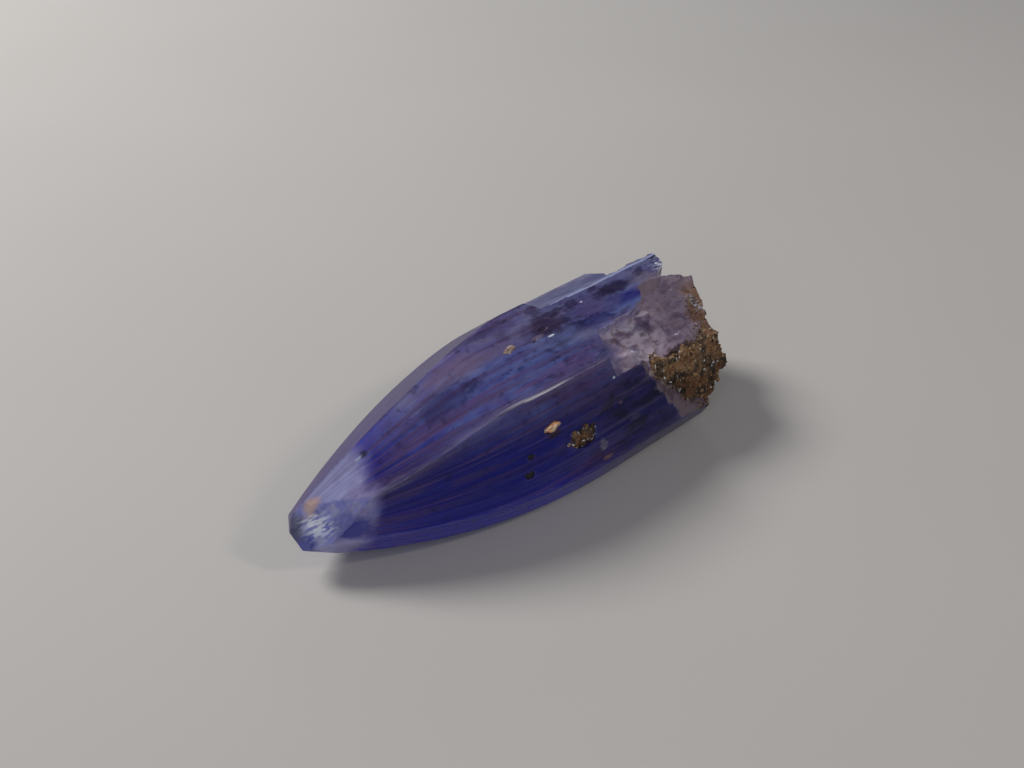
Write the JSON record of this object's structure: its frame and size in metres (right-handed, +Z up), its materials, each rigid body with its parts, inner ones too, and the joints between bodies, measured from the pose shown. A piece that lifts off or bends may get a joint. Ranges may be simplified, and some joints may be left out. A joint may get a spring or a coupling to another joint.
{
  "type": "rough tanzanite crystal",
  "caption": "Rough tanzanite: a striated blue-violet crystal with a bullet-shaped tip, a milky broken end with a brown crust of host rock, and a flat underside to rest on.",
  "frame": {"origin": "on the resting plane, under the middle of the whole specimen", "axes": "+X along the crystal from its tip to its broken end, +Z up from the flat underside, -Y the side with the crust"},
  "size_m": [0.0238, 0.01, 0.0067],
  "materials": {
    "tanzanite": "vitreous, see-through, deep blue-violet, paler and milky at the tip and the broken end",
    "host_rock": "granular, matt brown with gold glints"
  },
  "bodies": {
    "root": {"crystal": "tanzanite", "matrix_crust": "host_rock", "pit_grain": "host_rock"}
  },
  "joints": []
}
